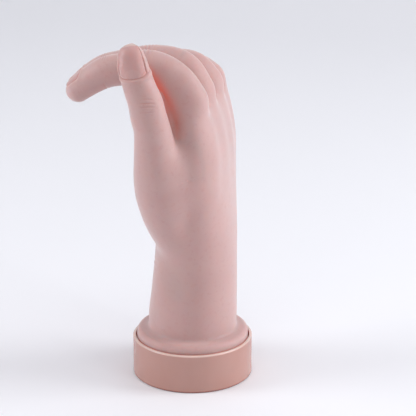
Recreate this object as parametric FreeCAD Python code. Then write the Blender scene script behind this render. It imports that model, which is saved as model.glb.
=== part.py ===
"""A poseable cosmetic hand prosthesis, standing on its turning wrist unit.

A soft glove covers a hinged inner hand. The four fingers bend together on one knuckle shaft, each
fingertip bends at its middle knuckle, and the thumb opens at its base and at its own knuckle.
The whole hand turns on a stud in the wrist unit, a cup that bolts to the forearm socket.

Frame: +Z up along the wrist's turning axis, origin at the centre of the wrist unit's bottom face.
+X is the back of the hand, -X the palm, -Y the thumb side and +Y the little finger side. Millimetres.
It is a right hand.
"""

import FreeCAD
import Part

import math
import os

Vector = FreeCAD.Vector
X_AXIS, Y_AXIS, Z_AXIS = Vector(1, 0, 0), Vector(0, 1, 0), Vector(0, 0, 1)

# ---- Driving dimensions -------------------------------------------------------------------------
SKIN = 2.2                   # glove wall
CORE = SKIN + 0.3            # depth of the inner hand under the glove's outside
PLAY = 0.05                  # radial running clearance of pins and shafts
SIDE_GAP = 0.3               # side clearance in hinges
CLEAR = 0.4                  # clearance between soft parts that move apart

CUP_R = 34.0                 # wrist unit
CUP_H = 22.5
CUP_WALL = 1.6
FLOOR_Z = (8.0, 11.0)        # underside and top of the cup's floor
RECESS_R = 27.5              # recess under the floor, closed by the end cover
BOLT_CIRCLE_R = 30.75        # holes to the forearm socket
BOLT_HOLE_R = 1.65
BOLT_HOLE_DEPTH = 6.0
COVER_Z = (0.6, 2.4)
COVER_SCREW_R = 23.5
STUD_R = 5.0
BUSH_R = 7.0
HUB_Z = (12.6, 24.4)         # hub that turns on the friction ring
HUB_R = 29.2

CUFF_R = 31.7                # the glove's flared foot
CUFF_Z = (17.0, 27.3)
CUFF_ROUND = 3.3
COLUMN_R = 25.2              # round wrist above the foot
COLUMN_Z = 32.0
POST_R = (22.3, 18.4)
POST_Z = (HUB_Z[1], 66.0)
FRAME_X = (3.0, 7.0)         # hand frame plate
FRAME_Z = (66.0, 150.0)
HAND_TOP_Z = 152.0           # the glove's hand ends and its knuckle part begins

KNUCKLE_X, KNUCKLE_Z = 5.0, 169.0
SHAFT_R = 2.5
BARREL_R = 6.0
EAR_R = 4.6
EAR_STEM = 3.4               # half thickness of an ear's upright
EARS_Y = [(-33.4, -31.7), (-23.2, -14.4), (-4.7, 4.2), (13.9, 22.5), (29.5, 30.9)]
CLIP_R = 3.4
CLIP_T = 0.6
PIN_R = 1.5
HINGE_R = 4.6                # cheeks and tongue of the small hinges
THUMB_HINGE_R = 4.0
HINGE_REACH = 6.6            # from a small hinge's pin to the bodies of its two phalanges
TONGUE_W = 5.4

# Wrist and palm: height, centre in X, half thickness in X, centre in Y, half width in Y, squareness.
PALM = [
    (24.0, 0.0, 24.9, 0.0, 24.9, 2.0),
    (36.0, 0.2, 25.0, 0.0, 25.2, 2.0),
    (52.0, 1.2, 24.1, 0.0, 25.8, 2.0),
    (70.0, 2.1, 23.0, 0.0, 26.8, 2.05),
    (86.0, 2.8, 22.0, 0.0, 29.0, 2.15),
    (102.0, 4.2, 19.6, 0.0, 32.6, 2.3),
    (119.0, 5.6, 17.0, -0.4, 35.4, 2.5),
    (136.0, 6.3, 15.6, -0.8, 36.6, 2.6),
    (152.0, 6.4, 14.6, -1.0, 36.8, 2.9),
    (160.0, 5.7, 14.2, -1.0, 36.8, 3.2),
]
WEB_TOP_Z = PALM[-1][0] - SKIN   # inside of the webs between the knuckles
# Fingers: middle line in Y, half width and half thickness at the knuckle, then X, Z, half width and
# half thickness at the middle knuckle, the end joint and near the tip.
FINGERS = {
    "index": (-28.0, 8.95, 12.8, (-18.0, 186.0, 8.8, 9.8), (-40.5, 183.3, 8.0, 8.9), (-57.6, 172.2, 6.9, 6.9)),
    "middle": (-9.5, 8.95, 13.0, (-21.0, 183.6, 8.8, 9.8), (-45.2, 178.4, 8.0, 8.9), (-61.0, 168.0, 6.9, 6.9)),
    "ring": (9.0, 8.8, 12.4, (-19.0, 178.2, 8.6, 9.4), (-41.0, 174.4, 7.8, 8.5), (-56.0, 167.2, 6.7, 6.7)),
    "little": (26.3, 8.2, 10.2, (-13.5, 172.8, 7.8, 8.5), (-31.0, 171.0, 7.0, 7.7), (-44.0, 165.6, 6.0, 6.0)),
}
# Thumb and its ball, from the heel of the hand up: X, Y, Z, half width in X, half thickness in Y.
THUMB = [
    (-2.0, -12.0, 78.0, 11.0, 11.0),
    (-5.0, -17.0, 90.0, 13.8, 14.0),
    (-8.0, -22.5, 103.0, 15.6, 15.6),
    (-10.2, -28.5, 116.5, 15.6, 15.4),
    (-11.4, -33.8, 129.0, 14.2, 13.6),
    (-11.8, -38.4, 141.0, 12.3, 11.4),
    (-12.4, -42.6, 155.0, 10.5, 9.4),
    (-14.8, -46.2, 171.5, 9.4, 8.0),
    (-19.0, -47.2, 184.0, 8.4, 7.8),
    (-20.8, -47.2, 195.0, 7.2, 6.6),
]
THUMB_ROOT = 4               # the station where the thumb leaves its ball
THUMB_PIVOT = Vector(-11.8, -38.4, 141.0)
THUMB_KNUCKLE = Vector(-14.8, -46.2, 171.5)

parts = {}


# ---- Small tools --------------------------------------------------------------------------------
def rod(radius, low, high):
    """A cylinder between two points."""
    return Part.makeCylinder(radius, (high - low).Length, low, high - low)


def upright(radius, z0, z1, x=0.0, y=0.0):
    return rod(radius, Vector(x, y, z0), Vector(x, y, z1))


def tube(outer, inner, z0, z1):
    return upright(outer, z0, z1).cut(upright(inner, z0 - 1, z1 + 1))


def knuckle_rod(radius, y0, y1):
    """A cylinder on the knuckle shaft's line."""
    return rod(radius, Vector(KNUCKLE_X, y0, KNUCKLE_Z), Vector(KNUCKLE_X, y1, KNUCKLE_Z))


def box(x0, x1, y0, y1, z0, z1):
    return Part.makeBox(x1 - x0, y1 - y0, z1 - z0, Vector(x0, y0, z0))


def turned(profile):
    """A solid of revolution about Z from a closed outline of (radius, z) points."""
    points = [Vector(radius, 0, z) for radius, z in profile]
    return Part.Face(Part.makePolygon(points + points[:1])).revolve(Vector(0, 0, 0), Z_AXIS, 360)


def around(count, radius, first_deg):
    """Points evenly spaced on a circle."""
    angles = [math.radians(first_deg + 360.0 * i / count) for i in range(count)]
    return [(radius * math.cos(angle), radius * math.sin(angle)) for angle in angles]


def fused(shapes):
    return shapes[0].multiFuse(shapes[1:]).removeSplitter()


def cut(shape, *tools):
    for tool in tools:
        shape = shape.cut(tool)
    return shape


def past(point, direction, reach=160.0):
    """A block with one face through point, filling direction's side of it."""
    block = Part.makeBox(2 * reach, 2 * reach, reach, Vector(-reach, -reach, 0))
    block.Placement = FreeCAD.Placement(point, FreeCAD.Rotation(Z_AXIS, direction))
    return block


def mid(a, b):
    return (a + b) * 0.5


# ---- Flesh forms: smooth solids through oval sections ----------------------------------------------
def oval(centre, side, front, half_side, half_front, squareness=2.0, count=20):
    """A closed smooth outline: an ellipse, or squarer with a higher squareness."""
    points = []
    for i in range(count):
        angle = 2 * math.pi * i / count
        c, s = math.cos(angle), math.sin(angle)
        along_side = half_side * math.copysign(abs(c) ** (2 / squareness), c)
        along_front = half_front * math.copysign(abs(s) ** (2 / squareness), s)
        points.append(centre + side * along_side + front * along_front)
    curve = Part.BSplineCurve()
    curve.interpolate(Points=points, PeriodicFlag=True)
    return Part.Wire([curve.toShape()])


def palm_form(inset):
    wires = []
    for z, x, half_x, y, half_y, squareness in PALM:
        wires.append(oval(Vector(x, y, z), X_AXIS, Y_AXIS, half_x - inset, half_y - inset, squareness))
    return Part.makeLoft(wires, True, False)


def spaced(stations, step):
    """The stations with others put evenly between them, so that none are far apart."""
    filled = [stations[0]]
    for (a, side_a, front_a), (b, side_b, front_b) in zip(stations, stations[1:]):
        count = max(1, round((b - a).Length / step))
        for i in range(1, count + 1):
            t = i / count
            filled.append((a + (b - a) * t, side_a + (side_b - side_a) * t, front_a + (front_b - front_a) * t))
    return filled


def limb(stations, side_axis, inset, rounded_end=False, step=6.0):
    """A bent limb through stations (centre, half side, half front), square to its middle line."""
    stations = spaced(stations, step)
    centres = [station[0] for station in stations]
    wires = []
    for i, (centre, half_side, half_front) in enumerate(stations):
        before = centres[max(i - 1, 0)]
        after = centres[min(i + 1, len(stations) - 1)]
        along = (after - before).normalize()
        front = along.cross(side_axis).normalize()
        side = front.cross(along).normalize()
        wires.append(oval(centre, side, front, half_side - inset, half_front - inset))
    if rounded_end:
        reach = min(stations[-1][1], stations[-1][2]) - inset
        for degrees in (22.0, 42.0, 60.0, 76.0):
            shrink = math.cos(math.radians(degrees))
            centre = centres[-1] + along * (reach * math.sin(math.radians(degrees)))
            half_side = (stations[-1][1] - inset) * shrink
            half_front = (stations[-1][2] - inset) * shrink
            wires.append(oval(centre, side, front, half_side, half_front))
    return Part.makeLoft(wires, True, False)


class Finger:
    """The places and forms of one finger."""

    def __init__(self, y, knuckle_w, knuckle_t, pip, dip, tip):
        self.y = y
        self.knuckle = Vector(KNUCKLE_X, y, KNUCKLE_Z)
        self.pip = Vector(pip[0], y, pip[1])
        self.dip = Vector(dip[0], y, dip[1])
        self.tip = Vector(tip[0], y, tip[1])
        self.first = (self.pip - self.knuckle).normalize()
        self.second = (self.dip - self.pip).normalize()
        self.seam_one = self.knuckle + (self.pip - self.knuckle) * 0.56
        self.seam_two = mid(self.pip, self.dip)
        w1, t1 = 0.3 * knuckle_w + 0.7 * pip[2], 0.5 * knuckle_t + 0.5 * pip[3]
        w2, t2 = 0.5 * (pip[2] + dip[2]), 0.5 * (pip[3] + dip[3]) - 0.3
        self.root = [
            (Vector(KNUCKLE_X + 0.6, y, WEB_TOP_Z - 1.5), knuckle_w, knuckle_t),
            (self.knuckle + Vector(-1.6, 0, 0.6), knuckle_w, knuckle_t),
            (self.seam_one, w1, t1),
            (self.seam_one + self.first * 2.0, w1, t1),
        ]
        self.far = [
            (self.seam_one - self.first * 2.0, w1, t1),
            (self.seam_one, w1, t1),
            (self.pip, pip[2], pip[3]),
            (self.seam_two, w2, t2),
            (self.dip, dip[2], dip[3]),
            (self.tip, tip[2], tip[3]),
        ]

    def root_form(self, inset):
        return limb(self.root, Y_AXIS, inset, step=14.0)

    def root_to_seam(self, inset):
        return self.root_form(inset).cut(past(self.seam_one, self.first))

    def far_form(self, inset):
        return limb(self.far, Y_AXIS, inset, rounded_end=True)

    def far_from_seam(self, inset):
        return self.far_form(inset).cut(past(self.seam_one, self.first * -1))


FINGER = {name: Finger(*values) for name, values in FINGERS.items()}


def thumb_stations(first, last):
    return [(Vector(x, y, z), half_x, half_y) for x, y, z, half_x, half_y in THUMB[first:last]]


def thumb_form(inset):
    """The thumb and its ball in one."""
    return limb(thumb_stations(0, len(THUMB)), X_AXIS, inset, rounded_end=True)


THUMB_POINTS = [Vector(x, y, z) for x, y, z, half_x, half_y in THUMB]
THUMB_FIRST = (THUMB_KNUCKLE - THUMB_PIVOT).normalize()
THUMB_SECOND = (THUMB_POINTS[-1] - THUMB_KNUCKLE).normalize()
ROOT_POINT = THUMB_POINTS[THUMB_ROOT]
ROOT_DIRECTION = (THUMB_POINTS[THUMB_ROOT + 1] - THUMB_POINTS[THUMB_ROOT - 1]).normalize()
THUMB_SEAM_ONE = mid(THUMB_PIVOT, THUMB_KNUCKLE)
THUMB_SEAM_TWO = THUMB_KNUCKLE + THUMB_SECOND * 10.5


# ---- Small hinges ---------------------------------------------------------------------------------
def hinge_block(pivot, pin, along, half_width, radius):
    """A round-ended block about a hinge pin that reaches back along a phalanx."""
    low, high = pivot - pin * half_width, pivot + pin * half_width
    up = pin.cross(along).normalize()
    reach = HINGE_REACH + 1.5
    corners = [up * radius, up * -radius, up * -radius + along * reach, up * radius + along * reach]
    outline = [low + corner for corner in corners]
    arm = Part.Face(Part.makePolygon(outline + outline[:1])).extrude(high - low)
    return fused([rod(radius, low, high), arm])


def cheeks(pivot, pin, along, half_width, radius=HINGE_R):
    slot = TONGUE_W / 2 + SIDE_GAP
    block = hinge_block(pivot, pin, along, half_width, radius)
    low, high = pivot - pin * slot, pivot + pin * slot
    bore = rod(PIN_R, pivot - pin * 20, pivot + pin * 20)
    return cut(block, slab(pivot, pin, along, low, high), bore)


def slab(pivot, pin, along, low, high):
    """The slot for a tongue: from well past the pin back to the phalanx's body."""
    up = pin.cross(along).normalize()
    near, far = along * -20.0, along * HINGE_REACH
    corners = [up * 20 + near, up * -20 + near, up * -20 + far, up * 20 + far]
    outline = [low + corner for corner in corners]
    return Part.Face(Part.makePolygon(outline + outline[:1])).extrude(high - low)


def tongue(pivot, pin, along, radius=HINGE_R):
    block = hinge_block(pivot, pin, along, TONGUE_W / 2, radius)
    return cut(block, rod(PIN_R + PLAY, pivot - pin * 20, pivot + pin * 20))


def hinge_pin(pivot, pin, half_width):
    return rod(PIN_R, pivot - pin * half_width, pivot + pin * half_width)


# ---- Wrist unit -----------------------------------------------------------------------------------
def wrist_housing():
    cup = turned([
        (BUSH_R, FLOOR_Z[0] - 3.0), (11.0, FLOOR_Z[0] - 3.0), (11.0, FLOOR_Z[0]), (RECESS_R, FLOOR_Z[0]),
        (RECESS_R, 0.0), (CUP_R - 0.5, 0.0), (CUP_R, 0.5), (CUP_R, CUP_H - 0.6), (CUP_R - 0.6, CUP_H),
        (CUP_R - CUP_WALL, CUP_H), (CUP_R - CUP_WALL, FLOOR_Z[1]), (BUSH_R, FLOOR_Z[1]),
    ])
    for x, y in around(4, BOLT_CIRCLE_R, 45.0):
        cup = cup.cut(upright(BOLT_HOLE_R, -1.0, BOLT_HOLE_DEPTH, x, y))
    for x, y in around(3, COVER_SCREW_R, 30.0):
        boss = upright(3.0, COVER_Z[1], FLOOR_Z[0] + 1.0, x, y)
        cup = cup.fuse(boss).cut(upright(1.1, COVER_Z[1] - 1.0, COVER_Z[1] + 5.0, x, y))
    return cup


def end_cover():
    cover = upright(RECESS_R - 0.1, COVER_Z[0], COVER_Z[1])
    for x, y in around(3, COVER_SCREW_R, 30.0):
        cover = cover.cut(upright(1.4, -1.0, 4.0, x, y))
    return cover


def cover_screws():
    screws = []
    for x, y in around(3, COVER_SCREW_R, 30.0):
        head = upright(2.3, 0.0, COVER_Z[0], x, y)
        screws.append(head.fuse(upright(1.1, COVER_Z[0], COVER_Z[1] + 4.6, x, y)))
    return Part.makeCompound(screws)


parts["wrist_housing"] = wrist_housing()
parts["end_cover"] = end_cover()
parts["cover_screws"] = cover_screws()
parts["bearing_bush"] = tube(BUSH_R, STUD_R + PLAY, FLOOR_Z[0] - 3.0, FLOOR_Z[1])
parts["friction_ring"] = tube(28.0, 16.0, FLOOR_Z[1], HUB_Z[0] - 0.1)

# ---- Stud, hub and post: they turn in the wrist unit ------------------------------------------------
parts["mounting_stud"] = turned([
    (0, 2.6), (STUD_R - 1.0, 2.6), (STUD_R - 1.0, 4.6), (STUD_R, 4.6), (STUD_R, HUB_Z[1] + 5.0), (0, HUB_Z[1] + 5.0),
])
parts["retaining_ring"] = tube(STUD_R + 2.2, STUD_R - 1.0, 3.0, 4.2)
parts["wave_washer"] = tube(STUD_R + 4.0, STUD_R + 0.2, HUB_Z[0] - 1.5, HUB_Z[0])


def wrist_hub():
    hub = turned([
        (STUD_R, HUB_Z[0]), (HUB_R, HUB_Z[0]), (HUB_R, HUB_Z[1] - 3.6), (HUB_R - 3.4, HUB_Z[1]), (STUD_R, HUB_Z[1]),
    ])
    for x, y in around(4, 14.0, 0.0):
        hub = hub.cut(upright(1.6, HUB_Z[0] + 2.0, HUB_Z[1] + 1.0, x, y))
    return hub


def wrist_post():
    post = turned([
        (STUD_R, POST_Z[0]), (POST_R[0], POST_Z[0]), (POST_R[1], POST_Z[1]), (0, POST_Z[1]), (0, POST_Z[1] - 4.0),
        (POST_R[1] - 3.0, POST_Z[1] - 4.0), (POST_R[0] - 3.4, POST_Z[0] + 4.0), (STUD_R, POST_Z[0] + 4.0),
    ])
    for x, y in around(4, 14.0, 0.0):
        post = post.cut(upright(1.6, POST_Z[0] - 1.0, POST_Z[0] + 5.0, x, y))
    for y in (-8.0, 8.0):
        post = post.cut(upright(2.1, POST_Z[1] - 5.0, POST_Z[1] + 1.0, KNUCKLE_X + 4.0, y))
        post = post.cut(upright(2.1, POST_Z[1] - 5.0, POST_Z[1] + 1.0, -4.0, y))
    return post


def socket_screw(radius, head_r, head_h, x, y, z, length):
    """A screw whose head sits on height z and whose shank points down."""
    head = upright(head_r, z, z + head_h, x, y)
    return head.fuse(upright(radius, z - length, z, x, y)).cut(upright(head_r * 0.45, z + 0.4, z + 9, x, y))


parts["wrist_hub"] = wrist_hub()
parts["wrist_post"] = wrist_post()
parts["hub_screws"] = Part.makeCompound([
    socket_screw(1.6, 3.0, 2.6, x, y, POST_Z[0] + 4.0, 13.0) for x, y in around(4, 14.0, 0.0)
])
parts["frame_screws"] = Part.makeCompound([
    socket_screw(2.1, 3.4, 3.0, x, y, FRAME_Z[0] + 3.0, 7.0) for x in (-4.0, KNUCKLE_X + 4.0) for y in (-8.0, 8.0)
])


# ---- Hand frame, knuckle shaft and thumb bracket ------------------------------------------------------
def ear_stem(ear, margin=0.0):
    """The upright of one ear of the hand frame."""
    half = EAR_STEM + margin
    y0, y1 = ear[0] - margin, ear[1] + margin
    return box(KNUCKLE_X - half, KNUCKLE_X + half, y0, y1, FRAME_Z[1] - 8.0, KNUCKLE_Z)


def hand_frame(inner_palm):
    plate = inner_palm.common(box(FRAME_X[0], FRAME_X[1], -60, 60, FRAME_Z[0], FRAME_Z[1]))
    foot = upright(17.0, FRAME_Z[0], FRAME_Z[0] + 3.0)
    ears = []
    for ear in EARS_Y:
        ears += [knuckle_rod(EAR_R, ear[0], ear[1]), ear_stem(ear)]
    frame = fused([plate, foot] + ears)
    for x in (-4.0, KNUCKLE_X + 4.0):
        for y in (-8.0, 8.0):
            frame = frame.cut(upright(2.1, FRAME_Z[0] - 1, FRAME_Z[0] + 4, x, y))
            frame = frame.cut(upright(3.5, FRAME_Z[0] + 3.0, FRAME_Z[0] + 7.0, x, y))
    for y, z in ((-14.0, 100.0), (14.0, 100.0), (-18.0, 128.0), (0.0, 128.0), (18.0, 128.0)):
        frame = frame.cut(rod(6.5, Vector(FRAME_X[0] - 1, y, z), Vector(FRAME_X[1] + 1, y, z)))
    return frame.cut(knuckle_rod(SHAFT_R, -60, 60))


def thumb_bracket():
    """Two cheeks on an arm that reaches from the frame plate to the thumb's pivot."""
    down = THUMB_FIRST * -1
    flat = Vector(0, down.y, down.z).normalize()
    pair = cheeks(THUMB_PIVOT, X_AXIS, flat, 6.6)
    end = THUMB_PIVOT + flat * 12.0
    foot = box(-18.4, -5.2, end.y - 4.5, end.y + 7.0, end.z - 4.0, end.z + 4.5)
    bridge = box(-8.0, FRAME_X[0], end.y + 4.0, end.y + 11.0, end.z - 4.0, end.z + 4.5)
    return fused([pair, foot, bridge])


inner_palm = palm_form(CORE)
parts["hand_frame"] = hand_frame(inner_palm)
parts["thumb_bracket"] = thumb_bracket()
parts["knuckle_shaft"] = knuckle_rod(SHAFT_R, EARS_Y[0][0] - CLIP_T - 0.1, EARS_Y[-1][1] + CLIP_T + 0.1)
parts["shaft_clips"] = Part.makeCompound([
    knuckle_rod(CLIP_R, y, y + CLIP_T).cut(knuckle_rod(SHAFT_R, -60, 60))
    for y in (EARS_Y[0][0] - CLIP_T, EARS_Y[-1][1])
])
parts["thumb_pivot_pin"] = hinge_pin(THUMB_PIVOT, X_AXIS, 6.6)


def palm_core(side):
    """One foam-filled half of the palm, in front of or behind the frame plate."""
    top = HAND_TOP_Z - 2.5
    if side == "front":
        room = box(-60, FRAME_X[0], -60, 60, FRAME_Z[0] + 3.2, top)
    else:
        room = box(FRAME_X[1], 60, -60, 60, FRAME_Z[0] + 3.2, top)
    core = inner_palm.common(room)
    for ear in EARS_Y:
        core = core.cut(ear_stem(ear))
    for x in (-4.0, KNUCKLE_X + 4.0):
        for y in (-8.0, 8.0):
            core = core.cut(upright(3.6, FRAME_Z[0], FRAME_Z[0] + 6.2, x, y))
    return core.cut(parts["thumb_bracket"])


inner_thumb = thumb_form(CORE)
thumb_ball_end = past(ROOT_POINT - ROOT_DIRECTION * 1.0, ROOT_DIRECTION)
hinge_room = rod(HINGE_R + 8.0, THUMB_PIVOT - X_AXIS * 12, THUMB_PIVOT + X_AXIS * 12)
parts["palm_core_front"] = palm_core("front").cut(hinge_room)
parts["palm_core_back"] = palm_core("back")
parts["thumb_ball_pad"] = cut(
    inner_thumb, thumb_ball_end, inner_palm, parts["thumb_bracket"], hinge_room, past(Vector(FRAME_X[0], 0, 0), X_AXIS),
)


# ---- Fingers ------------------------------------------------------------------------------------------
def finger_core(finger, barrel, half_width):
    """Proximal phalanx: a barrel on the knuckle shaft and two cheeks at the middle knuckle."""
    seam, knuckle_end = finger.far[1], finger.far[2]
    start = (finger.knuckle + finger.first * (BARREL_R - 2.0), seam[1], seam[2] - 2.0)
    body = limb([start, seam, knuckle_end], Y_AXIS, CORE)
    body = body.cut(past(finger.pip - finger.first * HINGE_REACH, finger.first))
    body = body.common(box(-90, 60, finger.y - half_width, finger.y + half_width, 120, 220))
    sides = cheeks(finger.pip, Y_AXIS, finger.first * -1, half_width - 0.4).common(finger.far_form(CORE))
    whole = fused([body, knuckle_rod(BARREL_R, barrel[0], barrel[1]), sides])
    for y0, y1 in EARS_Y:
        whole = whole.cut(knuckle_rod(EAR_R + 0.7, y0 - SIDE_GAP, y1 + SIDE_GAP))
    return whole.cut(knuckle_rod(SHAFT_R + PLAY, -60, 60))


def fingertip_core(finger):
    body = finger.far_form(CORE).cut(past(finger.pip + finger.second * HINGE_REACH, finger.second * -1))
    return fused([body, tongue(finger.pip, Y_AXIS, finger.second)])


names = list(FINGERS)
for i, name in enumerate(names):
    finger = FINGER[name]
    barrel = (EARS_Y[i][1] + SIDE_GAP, EARS_Y[i + 1][0] - SIDE_GAP)
    half_width = FINGERS[name][3][2] - CORE
    parts[name + "_core"] = finger_core(finger, barrel, half_width)
    parts[name + "_tip_core"] = fingertip_core(finger)
    parts[name + "_pin"] = hinge_pin(finger.pip, Y_AXIS, half_width - 0.5)


# ---- Thumb --------------------------------------------------------------------------------------------
def in_yz(direction):
    return Vector(0, direction.y, direction.z).normalize()


thumb_half = 5.0
first_flat = in_yz(THUMB_FIRST)
second_flat = in_yz(THUMB_SECOND)
thumb_body = cut(
    inner_thumb, past(THUMB_PIVOT + first_flat * HINGE_REACH, first_flat * -1),
    past(THUMB_KNUCKLE - first_flat * HINGE_REACH, first_flat),
)
thumb_cheeks = cheeks(THUMB_KNUCKLE, X_AXIS, first_flat * -1, thumb_half, THUMB_HINGE_R)
parts["thumb_core"] = fused([thumb_body, tongue(THUMB_PIVOT, X_AXIS, first_flat), thumb_cheeks])
parts["thumb_tip_core"] = fused([
    inner_thumb.cut(past(THUMB_KNUCKLE + second_flat * HINGE_REACH, second_flat * -1)),
    tongue(THUMB_KNUCKLE, X_AXIS, second_flat, THUMB_HINGE_R),
])
parts["thumb_pin"] = hinge_pin(THUMB_KNUCKLE, X_AXIS, thumb_half - 0.1)

# ---- Glove --------------------------------------------------------------------------------------------
ROUND_TOP = CUFF_R - CUFF_ROUND


def cuff_form(inset):
    """The glove's flared foot: a round-edged flange that rises into the wrist column."""
    radius = CUFF_ROUND - inset
    top = CUFF_Z[1] - inset
    outline = [(0, CUFF_Z[0]), (CUFF_R - inset, CUFF_Z[0])]
    for step in range(7):
        angle = math.radians(15.0 * step)
        outline.append((ROUND_TOP + radius * math.cos(angle), top - radius + radius * math.sin(angle)))
    outline += [(COLUMN_R + 1.4 - inset, top + 1.0), (COLUMN_R + 0.3 - inset, COLUMN_Z - 2.0)]
    return turned(outline + [(0, COLUMN_Z - 2.0)])


outer_palm = palm_form(0)
outer_thumb = thumb_form(0)
hollow_palm = palm_form(SKIN).cut(past(Vector(0, 0, WEB_TOP_Z), Z_AXIS))
hollow_thumb = thumb_form(SKIN)
above_hand = past(Vector(0, 0, HAND_TOP_Z), Z_AXIS)
below_knuckles = past(Vector(0, 0, HAND_TOP_Z), Z_AXIS * -1)

ball = outer_thumb.cut(thumb_ball_end)
glove_hand = fused([cuff_form(0), outer_palm.cut(above_hand), ball])
parts["glove_hand"] = cut(glove_hand, cuff_form(SKIN), hollow_palm, hollow_thumb)

roots = [finger.root_to_seam(0) for finger in FINGER.values()]
glove_knuckles = fused([outer_palm.cut(below_knuckles)] + roots).cut(hollow_palm)
for finger in FINGER.values():
    glove_knuckles = glove_knuckles.cut(finger.root_form(SKIN))
for ear in EARS_Y[1:-1]:
    room = knuckle_rod(EAR_R + 0.2, ear[0] - 0.2, ear[1] + 0.2).fuse(ear_stem(ear, 0.2))
    glove_knuckles = glove_knuckles.cut(room.removeSplitter())
parts["glove_knuckles"] = glove_knuckles

for name, finger in FINGER.items():
    shell = finger.far_from_seam(0).cut(finger.far_form(SKIN))
    parts["glove_" + name + "_joint"] = shell.cut(past(finger.seam_two, finger.second))
    parts["glove_" + name + "_tip"] = shell.cut(past(finger.seam_two, finger.second * -1))

thumb_shell = cut(outer_thumb, hollow_thumb)
root_cut = past(ROOT_POINT - ROOT_DIRECTION * 1.0, ROOT_DIRECTION * -1)
first_cut = past(THUMB_SEAM_ONE, THUMB_FIRST)
grown_palm = palm_form(-CLEAR)
grown_roots = FINGER["index"].root_form(-CLEAR)
parts["glove_thumb_base"] = cut(thumb_shell, root_cut, first_cut, grown_palm, grown_roots)
parts["glove_thumb_joint"] = cut(
    thumb_shell, past(THUMB_SEAM_ONE, THUMB_FIRST * -1), past(THUMB_SEAM_TWO, THUMB_SECOND), grown_roots,
)
parts["glove_thumb_tip"] = thumb_shell.cut(past(THUMB_SEAM_TWO, THUMB_SECOND * -1))

# The gloves are relieved where a hinge's cheeks reach into the wall, and the little core where the
# knuckle glove is thick.
for name in ("index", "middle", "ring"):
    parts["glove_" + name + "_joint"] = parts["glove_" + name + "_joint"].cut(parts[name + "_core"])
parts["glove_thumb_joint"] = parts["glove_thumb_joint"].cut(parts["thumb_tip_core"])
parts["little_core"] = parts["little_core"].cut(parts["glove_knuckles"])

# ---- Write the parts ------------------------------------------------------------------------------------
os.makedirs("parts", exist_ok=True)
for name, shape in parts.items():
    shape.exportStep("parts/" + name + ".step")
    box_ = shape.BoundBox
    print("%-20s solids %d valid %s volume %9.1f  X %6.1f %6.1f Y %6.1f %6.1f Z %6.1f %6.1f" % (
        name, len(shape.Solids), shape.isValid(), shape.Volume,
        box_.XMin, box_.XMax, box_.YMin, box_.YMax, box_.ZMin, box_.ZMax))
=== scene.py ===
import math
from functools import partial

import bpy
import numpy as np
import openvdb
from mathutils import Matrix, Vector


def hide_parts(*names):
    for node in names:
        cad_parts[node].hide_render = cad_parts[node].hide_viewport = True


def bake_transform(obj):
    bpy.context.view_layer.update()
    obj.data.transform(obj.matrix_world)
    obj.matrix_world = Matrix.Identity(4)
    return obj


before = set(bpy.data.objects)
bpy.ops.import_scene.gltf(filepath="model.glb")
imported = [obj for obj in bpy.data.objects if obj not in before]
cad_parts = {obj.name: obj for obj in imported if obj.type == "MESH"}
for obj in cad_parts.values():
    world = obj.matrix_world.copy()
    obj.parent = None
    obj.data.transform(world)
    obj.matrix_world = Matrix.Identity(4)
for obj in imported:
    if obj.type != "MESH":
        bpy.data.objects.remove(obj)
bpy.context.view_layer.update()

# Lengths in the shape code are millimetres; every mesh is written in metres.
MM = 0.001
# Thickness of the skin, and how far the linings behind the thumb's web lie inside it.
SKIN = 2.2
LINING = 0.35
KNUCKLE = np.array([5.0, 0.0, 169.0])
THUMB_PIVOT = np.array([-11.8, -38.4, 141.0])
THUMB_KNUCKLE = np.array([-14.8, -46.2, 171.5])

# Palm and wrist sections: height, centre x, half x, centre y, half y, squareness.
PALM = np.array(
    [
        (10, 0.0, 24.9, 0.0, 24.9, 2.0),
        (24, 0.0, 24.9, 0.0, 24.9, 2.0),
        (36, 0.2, 25.0, 0.0, 25.2, 2.0),
        (52, 1.2, 24.1, 0.0, 25.8, 2.0),
        (70, 2.1, 23.0, 0.0, 26.8, 2.05),
        (86, 2.8, 22.0, 0.0, 29.0, 2.15),
        (102, 4.2, 19.6, 0.0, 32.6, 2.3),
        (119, 5.6, 17.0, -0.4, 35.4, 2.5),
        (136, 6.1, 15.4, -0.8, 36.6, 2.6),
        (152, 5.1, 13.3, -1.0, 36.6, 2.7),
        (163, 3.4, 11.7, -1.0, 36.2, 2.8),
        (176, 2.0, 10.2, -1.0, 35.6, 2.8),
    ]
)
PALM_END, PALM_END_ROUND = 164.5, 9.0
CUFF_R, CUFF_LOW, CUFF_TOP, CUFF_ROUND = 31.7, 12.0, 27.0, 2.6
# The cuff's faces rise towards the middle: how steeply, and over what width.
CUFF_RISE, CUFF_RISE_WIDTH = 0.10, 7
# Height at which the skin goes down into the wrist ring.
SKIN_FOOT = 18.0

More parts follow.
